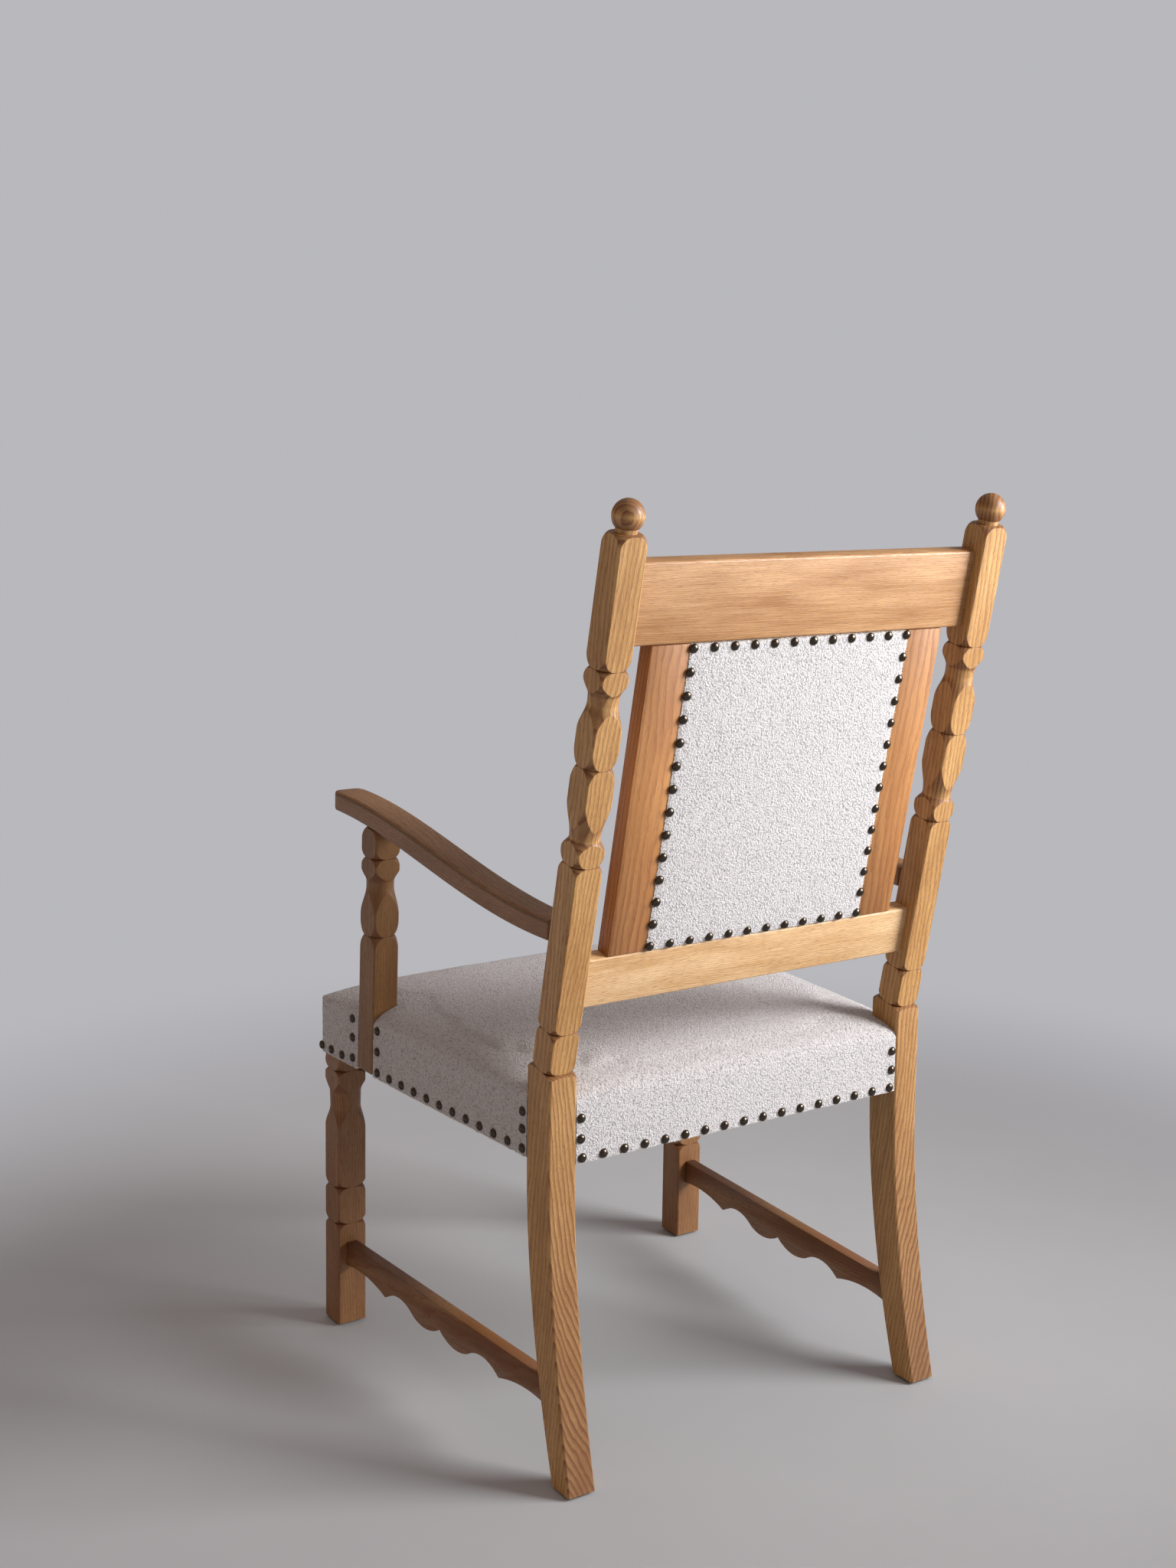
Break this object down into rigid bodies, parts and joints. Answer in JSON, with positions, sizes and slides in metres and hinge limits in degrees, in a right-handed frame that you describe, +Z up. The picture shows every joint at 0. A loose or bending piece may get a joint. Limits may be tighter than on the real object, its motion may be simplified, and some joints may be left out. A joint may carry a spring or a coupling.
{
  "type": "armchair",
  "caption": "Oak dining armchair with raked turned posts, S-curved arms, scalloped side stretchers and a boucle-covered seat and back.",
  "frame": {"origin": "centre of the chair's footprint box, on the floor", "axes": "+Z up, front of the chair towards -Y, +X to the sitter's left"},
  "size_m": [0.6012, 0.6433, 1.1159],
  "materials": {
    "oak": "light golden oak with open grain, satin oil",
    "frame_wood": "plain sawn beech, unfinished",
    "cloth": "off-white boucle with dark flecks",
    "foam": "cream foam and wadding",
    "webbing": "woven jute",
    "lining": "black lining cloth",
    "felt": "dark pressed felt"
  },
  "bodies": {
    "root": {"rear_post_left": "oak", "rear_post_right": "oak", "front_leg_left": "oak", "front_leg_right": "oak", "arm_support_left": "oak", "arm_support_right": "oak", "armrest_left": "oak", "armrest_right": "oak", "side_stretcher_left": "oak", "side_stretcher_right": "oak", "crest_rail": "oak", "lower_back_rail": "oak", "back_stile_left": "oak", "back_stile_right": "oak", "seat_rail_front": "frame_wood", "seat_rail_back": "frame_wood", "seat_rail_left": "frame_wood", "seat_rail_right": "frame_wood", "corner_block_front_left": "frame_wood", "corner_block_front_right": "frame_wood", "corner_block_rear_left": "frame_wood", "corner_block_rear_right": "frame_wood", "back_frame_top_rail": "frame_wood", "back_frame_bottom_rail": "frame_wood", "seat_cover": "cloth", "back_rear_cover": "cloth", "back_front_cover": "cloth", "seat_foam": "foam", "back_foam": "foam", "seat_web_long_1": "webbing", "seat_web_long_2": "webbing", "seat_web_long_3": "webbing", "seat_web_long_4": "webbing", "seat_web_cross_1": "webbing", "seat_web_cross_2": "webbing", "seat_web_cross_3": "webbing", "back_web_1": "webbing", "back_web_2": "webbing", "back_web_3": "webbing", "dust_cover": "lining", "glide_front_left": "felt", "glide_front_right": "felt", "glide_rear_left": "felt", "glide_rear_right": "felt"}
  },
  "joints": []
}
